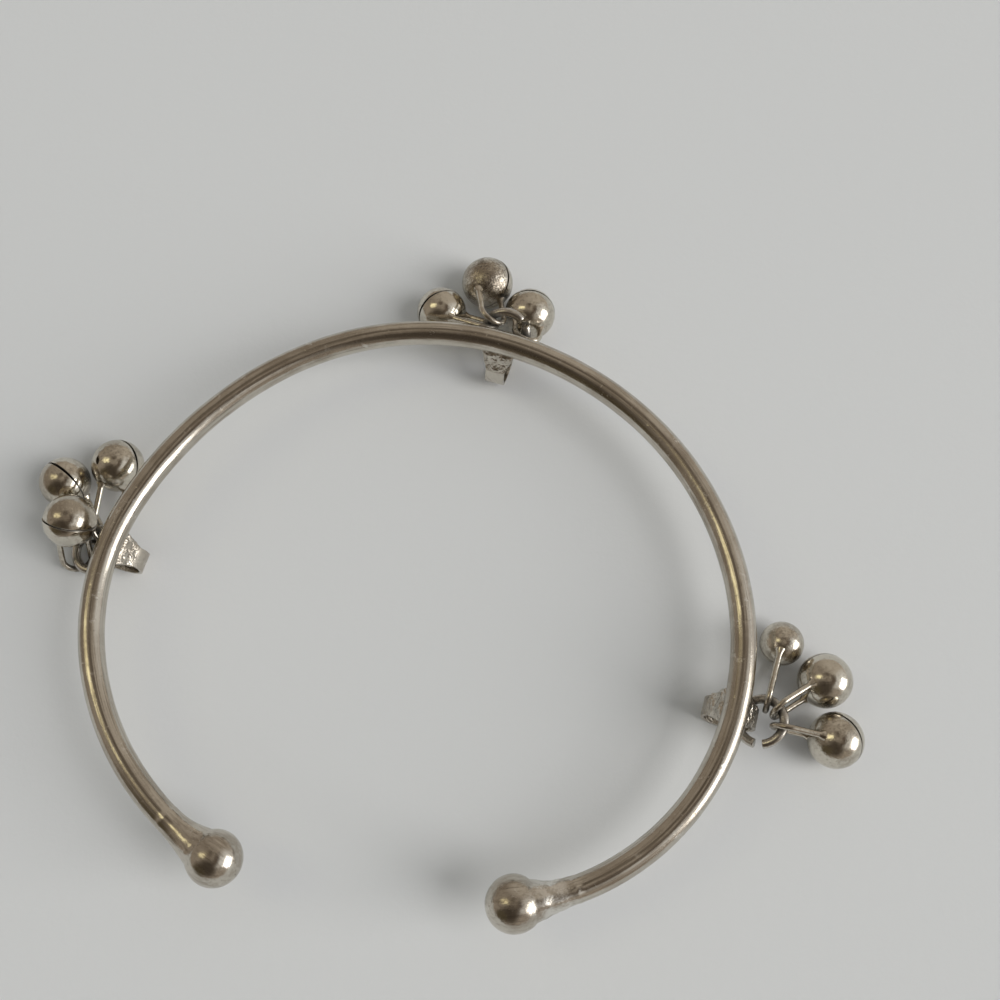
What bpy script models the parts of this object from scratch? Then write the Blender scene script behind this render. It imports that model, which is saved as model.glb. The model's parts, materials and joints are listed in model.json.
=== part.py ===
"""Open cuff bracelet of round silver wire with ball ends and three clusters of small bells.

The wire lies level on three flat rings that are soldered under it. An open jump ring passes
through each flat ring, and three hollow bells hang on each jump ring by U-shaped loops.
Units are metres, +Z is up, and the origin is under the middle of the whole object's box.
"""
import math
from collections import namedtuple

import bmesh
import bpy
from mathutils import Matrix, Vector

MM = 0.001

# Cuff wire
WIRE_D = 2.6 * MM
CUFF_HALF_WIDTH = 31.7 * MM      # half the widest distance between the wire's centre lines
WIRE_STEP = 2.7 * MM             # spacing of the wire's rings of points
WIRE_SIDES = 12

# Ball ends
KNOB_D = 5.4 * MM
KNOB_STEPS = 8                   # rings of points from the neck to the tip
NECK_LENGTH = 4.2 * MM           # from the ball's back to the plain wire
NECK_MEETS_BALL = 131.0          # degrees round the ball from its tip
NECK_STEPS = 3

# Flat rings soldered under the wire
BAND_D = 5.5 * MM
BAND_WALL = 0.45 * MM
BAND_WIDTH = 2.1 * MM
BAND_SIDES = 16
SOLDER_SINK = 0.12 * MM          # how far the wire and the flat ring melt into each other
SOLDER_LENGTH = 3.1 * MM         # at the wire, along it
SOLDER_RISE = 1.0 * MM           # how far it climbs from the wire's underside
SOLDER_DROP = 0.4 * MM           # how far it runs down from the flat ring's top
SOLDER_TOP_WIDTH = 2.3 * MM
SOLDER_FOOT_WIDTH = 2.8 * MM
SOLDER_INSET = 0.06 * MM         # from the flat ring's edges

# Open jump rings
JUMP_WIRE_D = 1.0 * MM
JUMP_D = 5.5 * MM                # outside
JUMP_SIDES = 6
JUMP_STEPS = 15

# Bells
BELL_D = 5.7 * MM                # the largest
BELL_WALL = 0.38 * MM
BELL_SEGMENTS = 14
BELL_RINGS = 8                   # from pole to pole, even, so that one ring is the seam
SLOT_WIDTH = 0.3 * MM            # at the middle of the open stretch of the seam
SLOT_SEGMENTS = 6                # segments of the seam that stand open
LOOP_WIRE_D = 0.66 * MM
LOOP_D = 3.5 * MM                # outside width of a bell's loop
LOOP_BEND_STEPS = 8
LOOP_SIDES = 6
LOOP_ROOT = 0.2 * MM             # how deep the loop's ends go into the bell's wall

# Clearances
JUMP_TO_BAND = 0.28 * MM
LOOP_TO_JUMP = 0.2 * MM

# The wire's centre line: arcs on from the middle of the back, with radii as shares of
# CUFF_HALF_WIDTH and sweeps in degrees. The last arc of each side ends at the ball's centre.
Arc = namedtuple("Arc", "radius sweep")
BACK_HEADING = 8.0               # the wire's direction at the middle of the back, degrees
SIDES = {
    "left": (Arc(0.97, 25), Arc(1.17, 30), Arc(0.75, 35), Arc(0.86, 30), Arc(0.95, 20)),
    "right": (Arc(0.90, 25), Arc(1.06, 30), Arc(0.99, 35), Arc(0.90, 30), Arc(0.77, 62.5)),
}

# Where each cluster is: the side of the wire, the distance along it from the middle of the
# back as a share of CUFF_HALF_WIDTH, the slide of the jump ring along the flat ring as a share
# of BAND_WIDTH, and, in degrees, the jump ring's seat round the bore up from the outward side,
# its rise away from the wire, and the place and width of its cut.
Cluster = namedtuple("Cluster", "side station slide seat rise cut cut_width")
CLUSTERS = {
    "top": Cluster("right", 0.38, -0.05, 0, 50, 42, 20),
    "left": Cluster("left", 1.17, 0.0, -40, -12, -20, 16),
    "right": Cluster("right", 1.93, 0.05, 0, 24, 5, 20),
}

# The bells of each cluster, as shares of BELL_D: the diameter, the centre's distance out from
# the wire and along it from the flat ring, and the height of the underside. Then, in degrees,
# the loop's place on the jump ring and its roll, the seam's bearing and tilt and the open
# stretch's turn round the seam from its highest point.
Bell = namedtuple("Bell", "diameter out along lift hook roll seam_bearing seam_tilt slot")
BELLS = {
    "top": (
        Bell(0.95, 0.63, -1.36, 0.0, 175, 10, 135, 65, 40),
        Bell(1.00, 1.46, -0.69, 0.0, 140, -15, -115, 35, 0),
        Bell(0.98, 1.05, 0.27, 0.0, 10, 20, 170, 50, 0),
    ),
    "left": (
        Bell(0.93, 1.50, -1.00, 0.0, 140, -38, 70, 75, 0),
        Bell(0.97, 0.69, -1.57, 0.0, 180, -28, 50, 35, 0),
        Bell(0.95, 0.92, -0.23, 0.48, 45, -15, -90, 55, -70),
    ),
    "right": (
        Bell(0.79, 0.62, -1.47, 0.0, 175, 15, -110, 10, 90),
        Bell(0.97, 1.46, -1.01, 0.0, 135, 0, 60, 25, -100),
        Bell(0.98, 1.84, -0.05, 0.0, 85, 0, 130, 50, 20),
    ),
}

SILVER = {
    "cuff_silver": ((0.55, 0.50, 0.45), 0.24),
    "jump_silver": ((0.50, 0.47, 0.43), 0.28),
    "bell_silver": ((0.58, 0.53, 0.46), 0.22),
}

Place = namedtuple("Place", "point along outward")


def clear_scene():
    for old in list(bpy.data.objects):
        bpy.data.objects.remove(old, do_unlink=True)


def material(name):
    found = bpy.data.materials.get(name)
    if found:
        return found
    colour, roughness = SILVER[name]
    made = bpy.data.materials.new(name)
    made.use_nodes = True
    shader = made.node_tree.nodes["Principled BSDF"]
    shader.inputs["Base Color"].default_value = (*colour, 1.0)
    shader.inputs["Metallic"].default_value = 1.0
    shader.inputs["Roughness"].default_value = roughness
    return made


def object_from_bmesh(name, bm, finish):
    bmesh.ops.recalc_face_normals(bm, faces=bm.faces)
    mesh = bpy.data.meshes.new(name)
    bm.to_mesh(mesh)
    bm.free()
    mesh.materials.append(material(finish))
    mesh.shade_smooth()
    mesh.set_sharp_from_angle(angle=math.radians(40))
    obj = bpy.data.objects.new(name, mesh)
    bpy.context.scene.collection.objects.link(obj)
    return obj


def union(obj, tools):
    """Join the tools to the object with exact Booleans and remove them."""
    for tool in tools:
        step = obj.modifiers.new("join", "BOOLEAN")
        step.operation = "UNION"
        step.solver = "EXACT"
        step.object = tool
    graph = bpy.context.evaluated_depsgraph_get()
    joined = bpy.data.meshes.new_from_object(obj.evaluated_get(graph), depsgraph=graph)
    obj.modifiers.clear()
    obj.data = joined
    for tool in tools:
        bpy.data.objects.remove(tool, do_unlink=True)
    return obj


def tube(name, centres, aims, ups, radii, sides, finish):
    """A closed round tube with one ring of points for each centre, square to its aim."""
    bm = bmesh.new()
    rings = []
    for centre, aim, up, radius in zip(centres, aims, ups, radii):
        across = aim.cross(up).normalized()
        over = across.cross(aim).normalized()
        ring = []
        for k in range(sides):
            turn = 2 * math.pi * k / sides
            offset = radius * (math.cos(turn) * over + math.sin(turn) * across)
            ring.append(bm.verts.new(centre + offset))
        rings.append(ring)
    for first, second in zip(rings, rings[1:]):
        for k in range(sides):
            n = (k + 1) % sides
            bm.faces.new((first[k], first[n], second[n], second[k]))
    bm.faces.new(rings[0])
    bm.faces.new(rings[-1])
    return object_from_bmesh(name, bm, finish)


# The cuff's centre line

def walk(side, distance):
    """The place on the wire's centre line at a distance from the middle of the back."""
    turn = 1.0 if side == "left" else -1.0
    heading = math.radians(BACK_HEADING) + (math.pi if side == "left" else 0.0)
    x, y = 0.0, 0.0
    left = distance
    for arc in SIDES[side]:
        radius = arc.radius * CUFF_HALF_WIDTH
        length = radius * math.radians(arc.sweep)
        used = min(left, length) if arc is not SIDES[side][-1] else left
        bend = turn * used / radius
        x += turn * radius * (math.sin(heading + bend) - math.sin(heading))
        y -= turn * radius * (math.cos(heading + bend) - math.cos(heading))
        heading += bend
        left -= used
        if left <= 0.0:
            break
    along = Vector((math.cos(heading), math.sin(heading), 0.0))
    outward = Vector((along.y, -along.x, 0.0)) * turn
    return Place(Vector((x, y, 0.0)), along, outward)


def side_length(side):
    return sum(arc.radius * CUFF_HALF_WIDTH * math.radians(arc.sweep) for arc in SIDES[side])


def wire_height():
    return BAND_D - SOLDER_SINK + WIRE_D / 2


def end_profile():
    """Distances back from the ball's centre, and radii, from the plain wire to the tip."""
    ball = KNOB_D / 2
    meet = math.radians(NECK_MEETS_BALL)
    back, thick = -math.cos(meet) * ball, math.sin(meet) * ball
    rows = []
    for k in range(NECK_STEPS):
        left = 1.0 - k / NECK_STEPS
        rows.append((back + NECK_LENGTH * left, WIRE_D / 2 + (thick - WIRE_D / 2) * (1.0 - left) ** 2))
    for k in range(KNOB_STEPS):
        turn = meet * (1.0 - k / KNOB_STEPS)
        rows.append((-math.cos(turn) * ball, math.sin(turn) * ball))
    return rows


def cuff_sections():
    """Centres, directions and radii from the left tip to the right tip."""
    sections = []
    for side, order in (("left", -1), ("right", 1)):
        length = side_length(side)
        profile = end_profile()
        plain = length - profile[0][0]
        count = max(2, round(plain / WIRE_STEP))
        rows = [(plain * k / count, WIRE_D / 2) for k in range(count)]
        rows += [(length - back, radius) for back, radius in profile]
        half = []
        for distance, radius in rows:
            place = walk(side, min(distance, length))
            beyond = max(0.0, distance - length)
            centre = place.point + place.along * beyond + Vector((0, 0, wire_height()))
            half.append((centre, place.along * order, radius))
        if side == "left":
            sections += reversed(half[1:])
        else:
            sections += half
    return sections


def cuff_wire():
    rows = cuff_sections()
    up = Vector((0, 0, 1))
    return tube("cuff", [row[0] for row in rows], [row[1] for row in rows], [up] * len(rows),
                [row[2] for row in rows], WIRE_SIDES, "cuff_silver")


# Flat rings and their solder

def cluster_place(cluster):
    """The middle of a cluster's flat ring, with the wire's direction and the way outwards."""
    place = walk(cluster.side, cluster.station * CUFF_HALF_WIDTH)
    return Place(place.point + Vector((0, 0, BAND_D / 2)), place.along, place.outward)


def band(name, place):
    """A flat ring with one flat of its outside down, so that it stands on a real flat face."""
    bm = bmesh.new()
    flat = math.cos(math.pi / BAND_SIDES)
    loops = []
    for end in (-BAND_WIDTH / 2, BAND_WIDTH / 2):
        for radius in (BAND_D / 2 / flat, (BAND_D / 2 - BAND_WALL) / flat):
            ring = []
            for k in range(BAND_SIDES):
                turn = 2 * math.pi * (k + 0.5) / BAND_SIDES
                offset = radius * (math.cos(turn) * Vector((0, 0, 1)) + math.sin(turn) * place.outward)
                ring.append(bm.verts.new(place.point + place.along * end + offset))
            loops.append(ring)
    near_out, near_in, far_out, far_in = loops
    strips = ((near_out, far_out), (far_out, far_in), (far_in, near_in), (near_in, near_out))
    for first, second in strips:
        for k in range(BAND_SIDES):
            n = (k + 1) % BAND_SIDES
            bm.faces.new((first[k], first[n], second[n], second[k]))
    return object_from_bmesh(name, bm, "cuff_silver")


def solder(name, place):
    """The solder that fills the hollow between the wire and the flat ring's shoulders."""
    underside = wire_height() - WIRE_D / 2
    upper_size = (underside + SOLDER_RISE, SOLDER_LENGTH, SOLDER_TOP_WIDTH)
    lower_size = (BAND_D - SOLDER_DROP, BAND_WIDTH - 2 * SOLDER_INSET, SOLDER_FOOT_WIDTH)
    bm = bmesh.new()
    rings = []
    for height, length, width in (upper_size, lower_size):
        middle = Vector((place.point.x, place.point.y, height))
        ring = []
        for a, b in ((-1, -1), (1, -1), (1, 1), (-1, 1)):
            offset = place.along * a * length / 2 + place.outward * b * width / 2
            ring.append(bm.verts.new(middle + offset))
        bm.faces.new(ring)
        rings.append(ring)
    upper, lower = rings
    for k in range(4):
        n = (k + 1) % 4
        bm.faces.new((upper[k], upper[n], lower[n], lower[k]))
    return object_from_bmesh(name, bm, "cuff_silver")


def cuff():
    parts = []
    for key, cluster in CLUSTERS.items():
        place = cluster_place(cluster)
        parts.append(band("band_" + key, place))
        parts.append(solder("solder_" + key, place))
    return union(cuff_wire(), parts)


# Jump rings

Jump = namedtuple("Jump", "centre along rise normal")


def jump_place(cluster):
    """The jump ring's centre and plane, with the flat ring's wall inside its round hole."""
    place = cluster_place(cluster)
    hole = JUMP_D / 2 - JUMP_WIRE_D - JUMP_TO_BAND
    slide = cluster.slide * BAND_WIDTH
    room = math.sqrt(max(0.0, hole ** 2 - (BAND_WIDTH / 2 + abs(slide)) ** 2))
    depth = (JUMP_D - JUMP_WIRE_D) / 2 - room
    seat = math.radians(cluster.seat)
    toward = place.outward * math.cos(seat) + Vector((0, 0, math.sin(seat)))
    near = place.point + toward * (BAND_D / 2 - BAND_WALL - depth) + place.along * slide
    tilt = math.radians(cluster.rise)
    rise = place.outward * math.cos(tilt) + Vector((0, 0, math.sin(tilt)))
    centre = near + rise * (JUMP_D - JUMP_WIRE_D) / 2
    return Jump(centre, place.along, rise, place.along.cross(rise).normalized())


def jump_direction(jump, degrees):
    turn = math.radians(degrees)
    return jump.along * math.cos(turn) + jump.rise * math.sin(turn)


def jump_ring(name, cluster):
    jump = jump_place(cluster)
    radius = (JUMP_D - JUMP_WIRE_D) / 2
    start = cluster.cut + cluster.cut_width / 2
    sweep = 360.0 - cluster.cut_width
    centres, aims = [], []
    for k in range(JUMP_STEPS + 1):
        degrees = start + sweep * k / JUMP_STEPS
        centres.append(jump.centre + jump_direction(jump, degrees) * radius)
        aims.append(jump_direction(jump, degrees + 90))
    ups = [jump.normal] * len(centres)
    radii = [JUMP_WIRE_D / 2] * len(centres)
    return tube(name, centres, aims, ups, radii, JUMP_SIDES, "jump_silver")


# Bells

def bell_centre(cluster, bell):
    place = cluster_place(cluster)
    centre = place.point + (place.outward * bell.out + place.along * bell.along) * BELL_D
    centre.z = (bell.diameter / 2 + bell.lift) * BELL_D
    return centre


def bell_hook(cluster, bell):
    """The centre of the loop's bend, and the loop's direction and normal."""
    jump = jump_place(cluster)
    wire = jump.centre + jump_direction(jump, bell.hook) * (JUMP_D - JUMP_WIRE_D) / 2
    aim = (bell_centre(cluster, bell) - wire).normalized()
    roll = math.radians(bell.roll)
    room = LOOP_D / 2 - LOOP_WIRE_D - JUMP_WIRE_D / 2 - LOOP_TO_JUMP
    hook = wire + aim * room * math.cos(roll) ** 2
    pull = jump_direction(jump, bell.hook + 90)
    normal = (pull - aim * pull.dot(aim)).normalized()
    return hook, aim, Matrix.Rotation(roll, 3, aim) @ normal


def bell_loop(name, hook, centre, aim, normal, radius):
    """A U of wire: a half-round bend about the hook and two legs rooted in the bell's wall."""
    bend = (LOOP_D - LOOP_WIRE_D) / 2
    side = aim.cross(normal).normalized()
    root = (centre - hook).length - math.sqrt((radius - LOOP_ROOT) ** 2 - bend ** 2)
    centres = [hook + side * bend + aim * root]
    aims = [-aim]
    for k in range(LOOP_BEND_STEPS + 1):
        turn = math.pi * k / LOOP_BEND_STEPS
        centres.append(hook + (side * math.cos(turn) - aim * math.sin(turn)) * bend)
        aims.append(-side * math.sin(turn) - aim * math.cos(turn))
    centres.append(hook - side * bend + aim * root)
    aims.append(aim)
    ups = [normal] * len(centres)
    radii = [LOOP_WIRE_D / 2] * len(centres)
    return tube(name, centres, aims, ups, radii, LOOP_SIDES, "bell_silver")


def bell_shell(name, centre, radius, bell, place):
    """A hollow ball of two halves whose seam stands open over a few segments."""
    bearing = math.radians(bell.seam_bearing)
    tilt = math.radians(bell.seam_tilt)
    level = place.outward * math.cos(bearing) + place.along * math.sin(bearing)
    pole = level * math.sin(tilt) + Vector((0, 0, math.cos(tilt)))
    start = Vector((-math.cos(tilt) * level.x, -math.cos(tilt) * level.y, math.sin(tilt)))
    start = Matrix.Rotation(math.radians(bell.slot), 3, pole) @ start
    second = pole.cross(start)
    bm = bmesh.new()
    half = BELL_RINGS // 2
    skins = []
    for skin_radius in (radius, radius - BELL_WALL):
        rows = {}
        for sign in (1, -1):
            for ring in range(half):
                for k in range(BELL_SEGMENTS):
                    turn = 2 * math.pi * (k - SLOT_SEGMENTS / 2) / BELL_SEGMENTS
                    open_share = math.sin(math.pi * k / SLOT_SEGMENTS) if 0 < k < SLOT_SEGMENTS else 0.0
                    if ring == 0 and open_share == 0.0 and sign == -1:
                        rows[sign, ring, k] = rows[1, ring, k]
                        continue
                    rise = math.pi / 2 * ring / half
                    if ring == 0:
                        rise = math.asin(SLOT_WIDTH / 2 * open_share / skin_radius)
                    point = (start * math.cos(turn) + second * math.sin(turn)) * math.cos(rise)
                    point = centre + (point + pole * sign * math.sin(rise)) * skin_radius
                    rows[sign, ring, k] = bm.verts.new(point)
            rows[sign, half] = bm.verts.new(centre + pole * sign * skin_radius)
            for k in range(BELL_SEGMENTS):
                n = (k + 1) % BELL_SEGMENTS
                for ring in range(half - 1):
                    bm.faces.new((rows[sign, ring, k], rows[sign, ring, n],
                                  rows[sign, ring + 1, n], rows[sign, ring + 1, k]))
                bm.faces.new((rows[sign, half - 1, k], rows[sign, half - 1, n], rows[sign, half]))
        skins.append(rows)
    outer, inner = skins
    for k in range(SLOT_SEGMENTS):
        for sign in (1, -1):
            bm.faces.new((outer[sign, 0, k], outer[sign, 0, k + 1],
                          inner[sign, 0, k + 1], inner[sign, 0, k]))
    return object_from_bmesh(name, bm, "bell_silver")


def make_bell(name, cluster, bell):
    radius = bell.diameter * BELL_D / 2
    centre = bell_centre(cluster, bell)
    hook, aim, normal = bell_hook(cluster, bell)
    shell = bell_shell(name, centre, radius, bell, cluster_place(cluster))
    return union(shell, [bell_loop(name + "_loop", hook, centre, aim, normal, radius)])


def centre_over_origin():
    """Move all pieces so that the middle of the underside of their box is the origin."""
    meshes = [obj.data for obj in bpy.data.objects if obj.type == "MESH"]
    points = [vertex.co for mesh in meshes for vertex in mesh.vertices]
    lows = [min(point[axis] for point in points) for axis in range(3)]
    highs = [max(point[axis] for point in points) for axis in range(3)]
    shift = Vector((-(lows[0] + highs[0]) / 2, -(lows[1] + highs[1]) / 2, -lows[2]))
    for mesh in meshes:
        mesh.transform(Matrix.Translation(shift))


def main():
    clear_scene()
    cuff()
    for key, cluster in CLUSTERS.items():
        jump_ring("jump_ring_" + key, cluster)
        for number, bell in enumerate(BELLS[key], start=1):
            make_bell("bell_%s_%d" % (key, number), cluster, bell)
    centre_over_origin()


main()
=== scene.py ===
"""Open cuff bracelet of tarnished silver wire: ball ends, flat rings, jump rings and small bells.

Everything is in metres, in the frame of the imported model. The wire is spun arc by arc along the
same centre line as the model's, and each bell, ring and loop is put where the model has it.
"""

import json
from collections import namedtuple
from math import asin, atan2, cos, hypot, pi, radians, sin, sqrt

import bmesh
import bpy
from bpy.props import FloatProperty, FloatVectorProperty, IntProperty, PointerProperty
from mathutils import Matrix, Vector
from mathutils.bvhtree import BVHTree
from mathutils.kdtree import KDTree


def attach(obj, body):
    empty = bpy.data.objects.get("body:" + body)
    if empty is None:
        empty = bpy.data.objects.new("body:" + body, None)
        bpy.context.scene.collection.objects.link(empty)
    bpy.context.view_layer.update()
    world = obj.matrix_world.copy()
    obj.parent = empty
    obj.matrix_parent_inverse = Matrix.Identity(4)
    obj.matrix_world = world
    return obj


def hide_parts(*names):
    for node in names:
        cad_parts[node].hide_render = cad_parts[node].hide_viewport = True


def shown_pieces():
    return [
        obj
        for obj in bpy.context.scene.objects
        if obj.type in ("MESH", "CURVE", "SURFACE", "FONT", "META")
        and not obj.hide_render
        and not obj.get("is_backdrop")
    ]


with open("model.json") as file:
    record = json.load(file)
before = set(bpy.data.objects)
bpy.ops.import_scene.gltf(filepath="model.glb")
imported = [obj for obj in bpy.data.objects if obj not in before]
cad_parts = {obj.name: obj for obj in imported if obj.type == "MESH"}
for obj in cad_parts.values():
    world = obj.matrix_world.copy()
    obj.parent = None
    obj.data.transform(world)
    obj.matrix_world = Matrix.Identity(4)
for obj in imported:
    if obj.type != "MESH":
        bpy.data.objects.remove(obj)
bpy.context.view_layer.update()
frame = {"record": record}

bl_info = {
    "name": "Cuff bracelet with bells",
    "version": (1, 0, 0),
    "blender": (4, 5, 0),
    "location": "3D View > Sidebar > Bracelet",
    "description": "Models an open silver cuff with ball ends and clusters of bells",
    "category": "Object",
}

MM = 0.001
UP = Vector((0, 0, 1))

# The wire's centre line: arcs on from the middle of the back, with radii as shares of half the
# cuff's width and sweeps in degrees. The last arc of each side ends at the ball's centre.
Arc = namedtuple("Arc", "radius sweep")
BACK_HEADING = 8.0
SIDES = {
    "left": (Arc(0.97, 25), Arc(1.17, 30), Arc(0.75, 35), Arc(0.86, 30), Arc(0.95, 20)),
    "right": (Arc(0.90, 25), Arc(1.06, 30), Arc(0.99, 35), Arc(0.90, 30), Arc(0.77, 62.5)),
}

# Clusters: the side and the distance along the wire as a share of half the cuff's width, the
# jump ring's slide as a share of the flat ring's width, then in degrees its seat, rise and cut.
Cluster = namedtuple("Cluster", "side station slide seat rise cut cut_width")
CLUSTERS = {
    "top": Cluster("right", 0.38, -0.05, 0, 50, 42, 20),
    "left": Cluster("left", 1.17, 0.0, -40, -12, -20, 16),
    "right": Cluster("right", 1.93, 0.05, 0, 24, 5, 20),
}

# Bells: diameter, distance out and along and height of the underside as shares of the largest
# bell, then in degrees the loop's place and roll and the seam's bearing, tilt and open stretch.
# Wear is how pitted the shell is.
Bell = namedtuple("Bell", "diameter out along lift hook roll seam_bearing seam_tilt slot wear")
BELLS = {
    "top": (
        Bell(0.95, 0.63, -1.36, 0.0, 175, 10, 135, 65, 40, 0.1),
        Bell(1.00, 1.46, -0.69, 0.0, 140, -15, -115, 35, 0, 0.8),
        Bell(0.98, 1.05, 0.27, 0.0, 10, 20, 170, 50, 0, 0.1),
    ),
    "left": (
        Bell(0.93, 1.50, -1.00, 0.0, 140, -38, 70, 75, 0, 0.1),
        Bell(0.97, 0.69, -1.57, 0.0, 180, -28, 50, 35, 0, 0.15),
        Bell(0.95, 0.92, -0.23, 0.48, 45, -15, -90, 55, -70, 0.1),
    ),
    "right": (
        Bell(0.79, 0.62, -1.47, 0.0, 175, 15, -110, 10, 90, 0.25),
        Bell(0.97, 1.46, -1.01, 0.0, 135, 0, 60, 25, -100, 0.12),
        Bell(0.98, 1.84, -0.05, 0.0, 85, 0, 130, 50, 20, 0.15),
    ),
}
PIERCED_BELL = "silver_bell_left_2"  # this bell has a small oval hole
HOLE_DIRECTION = Vector((-0.52, -0.08, 0.85))
WRINKLED_RING = "right"  # this cluster's flat ring is rough and lumpy
SNUG = 0.994  # keeps the shells just inside the model's
SOLDERED = ("cuff_wire", "flat_ring", "solder")  # melted together, with no corners between
TARNISH_AND_SHADE_REACH = 1.2 * MM  # how far a near piece darkens the silver, as tarnish and as painted shade
TARNISH_AND_SHADE_DEPTH = 0.95  # how black it is where pieces touch, as tarnish and as painted shade
TOUCH = 0.01 * MM  # points this near to a plane lie in it

Place = namedtuple("Place", "point along outward")
Jump = namedtuple("Jump", "centre along rise normal")


# Sizes and finishes that a user may change

def length(name, description, default):
    return FloatProperty(name=name, description=description, default=default * MM,
                         min=0.0, precision=5, unit="LENGTH", subtype="DISTANCE")


def angle(name, description, default):
    return FloatProperty(name=name, description=description, default=radians(default),
                         unit="ROTATION", subtype="ANGLE")


def power(name, description, default):
    return FloatProperty(name=name, description=description, default=default, min=0.0,
                         unit="POWER")


def colour(name, description, default):
    return FloatVectorProperty(name=name, description=description, default=default,
                               size=3, min=0.0, max=1.0, subtype="COLOR")


class CuffSizes(bpy.types.PropertyGroup):
    """Sizes of the wire, its ball ends and the flat rings soldered under it."""

    half_width: length("Half width", "Half the cuff's width between the wire's middles", 31.7)
    wire: length("Wire", "Diameter of the cuff's wire", 2.6)
    wire_step: length("Wire step", "Spacing of the rings of points along the wire", 0.5)
    wire_sides: IntProperty(name="Wire sides", description="Points round the wire", default=40)
    ball: length("Ball", "Diameter of the ball at each end", 5.4)
    neck: length("Neck", "Length of the flare between the wire and the ball", 4.2)
    neck_lip: length("Neck lip", "Height of the edge where the flare starts", 0.04)
    strip_diameter: length("Flat ring", "Outside diameter of the flat rings", 5.5)
    strip_wall: length("Flat ring wall", "Thickness of the flat rings", 0.45)
    strip_width: length("Flat ring width", "Width of the flat rings", 2.1)
    solder_sink: length("Solder sink", "How far wire and flat ring melt together", 0.12)
    solder_length: length("Solder length", "Length of the solder at the wire", 3.5)
    dents: length("Dents", "Depth of the hand-made unevenness of the wire", 0.05)


class BellSizes(bpy.types.PropertyGroup):
    """Sizes of the jump rings, the bells and the bells' loops."""

    jump: length("Jump ring", "Outside diameter of the jump rings", 5.5)
    jump_wire: length("Jump wire", "Diameter of the jump rings' wire", 1.0)
    jump_gap: length("Jump gap", "Clearance of the jump rings round the flat rings", 0.28)
    bell: length("Bell", "Diameter of the largest bell", 5.7)
    wall: length("Bell wall", "Thickness of the bells' shells", 0.38)
    slot: length("Slot", "Width of the open seam at its middle", 0.3)
    slot_sweep: angle("Slot sweep", "How far round the seam is open", 154)
    seam: length("Seam", "Width of the groove where the seam is closed", 0.09)
    loop: length("Loop", "Outside width of the bells' loops", 3.5)
    loop_wire: length("Loop wire", "Diameter of the loops' wire", 0.66)
    loop_gap: length("Loop gap", "Clearance between loops and jump rings", 0.2)
    loop_root: length("Loop root", "How deep the loops' ends go into the shells", 0.2)


class SilverFinish(bpy.types.PropertyGroup):
    """Colours and wear of the silver."""

    wire_colour: colour("Wire silver", "Worn silver of the wire", (0.61, 0.57, 0.50))
    bell_colour: colour("Bell silver", "Polished silver of the bells", (0.67, 0.63, 0.545))
    link_colour: colour("Link silver", "Greyer silver of the jump rings", (0.60, 0.575, 0.53))
    tarnish: colour("Tarnish", "Brown film on the silver", (0.36, 0.31, 0.25))
    streak: colour("Streak", "Dark lines drawn along the wire", (0.19, 0.155, 0.115))
    bright: colour("Bright", "Freshly rubbed silver", (0.80, 0.78, 0.73))
    # This near-black colours the dark specks and also the painted shade in the corners between
    # close pieces
    grime: colour("Grime", "Black sulphide and dirt in the corners", (0.05, 0.042, 0.034))


class StageLook(bpy.types.PropertyGroup):
    """The floor, the lights and the camera."""

    paper: colour("Paper", "Colour of the pale floor", (0.80, 0.80, 0.79))
    window_power: power("Window", "Power of the large soft light", 70.0)
    lamp_power: power("Lamp", "Power of the small warm light", 6.0)
    sky_power: power("Sky", "Power of the light that the floor gets", 59.0)
    camera_distance: length("Camera distance", "From the wire's plane", 130.5)
    camera_tilt: angle("Camera tilt", "Tilt from straight down", 19)


# The model's places

def sizes():
    return bpy.context.scene.cuff_sizes


def bell_sizes():
    return bpy.context.scene.bell_sizes


def finish_of():
    return bpy.context.scene.silver_finish


def side_length(side):
    return sum(arc.radius * sizes().half_width * radians(arc.sweep) for arc in SIDES[side])


def walk(side, distance):
    """The place on the wire's centre line at a distance from the middle of the back."""
    turn = 1.0 if side == "left" else -1.0
    heading = radians(BACK_HEADING) + (pi if side == "left" else 0.0)
    x, y = 0.0, 0.0
    to_go = distance
    for arc in SIDES[side]:
        radius = arc.radius * sizes().half_width
        used = min(to_go, radius * radians(arc.sweep))
        bend = turn * used / radius
        x += turn * radius * (sin(heading + bend) - sin(heading))
        y -= turn * radius * (cos(heading + bend) - cos(heading))
        heading += bend
        to_go -= used
        if to_go <= 0.0:
            break
    along = Vector((cos(heading), sin(heading), 0.0))
    outward = Vector((along.y, -along.x, 0.0)) * turn
    return Place(Vector((x, y, 0.0)) + along * to_go, along, outward)


def shift():
    """From the middle of the back to the model's origin: the rest face is under the top ring."""
    rest = Vector(frame["record"]["mounts"][0]["pos_m"])
    cluster = CLUSTERS["top"]
    place = walk(cluster.side, cluster.station * sizes().half_width)
    return Vector((rest.x - place.point.x, rest.y - place.point.y, 0.0))


def wire_height():
    return sizes().strip_diameter - sizes().solder_sink + sizes().wire / 2


def cluster_place(cluster):
    """The middle of a cluster's flat ring, with the wire's direction and the way outwards."""
    place = walk(cluster.side, cluster.station * sizes().half_width)
    middle = place.point + shift() + UP * sizes().strip_diameter / 2
    return Place(middle, place.along, place.outward)


def ring_matrix(cluster):
    """From a pattern about the X axis to a cluster's flat ring."""
    place = cluster_place(cluster)
    return frame_matrix(place.along, UP.cross(place.along), UP, place.point)


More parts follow.
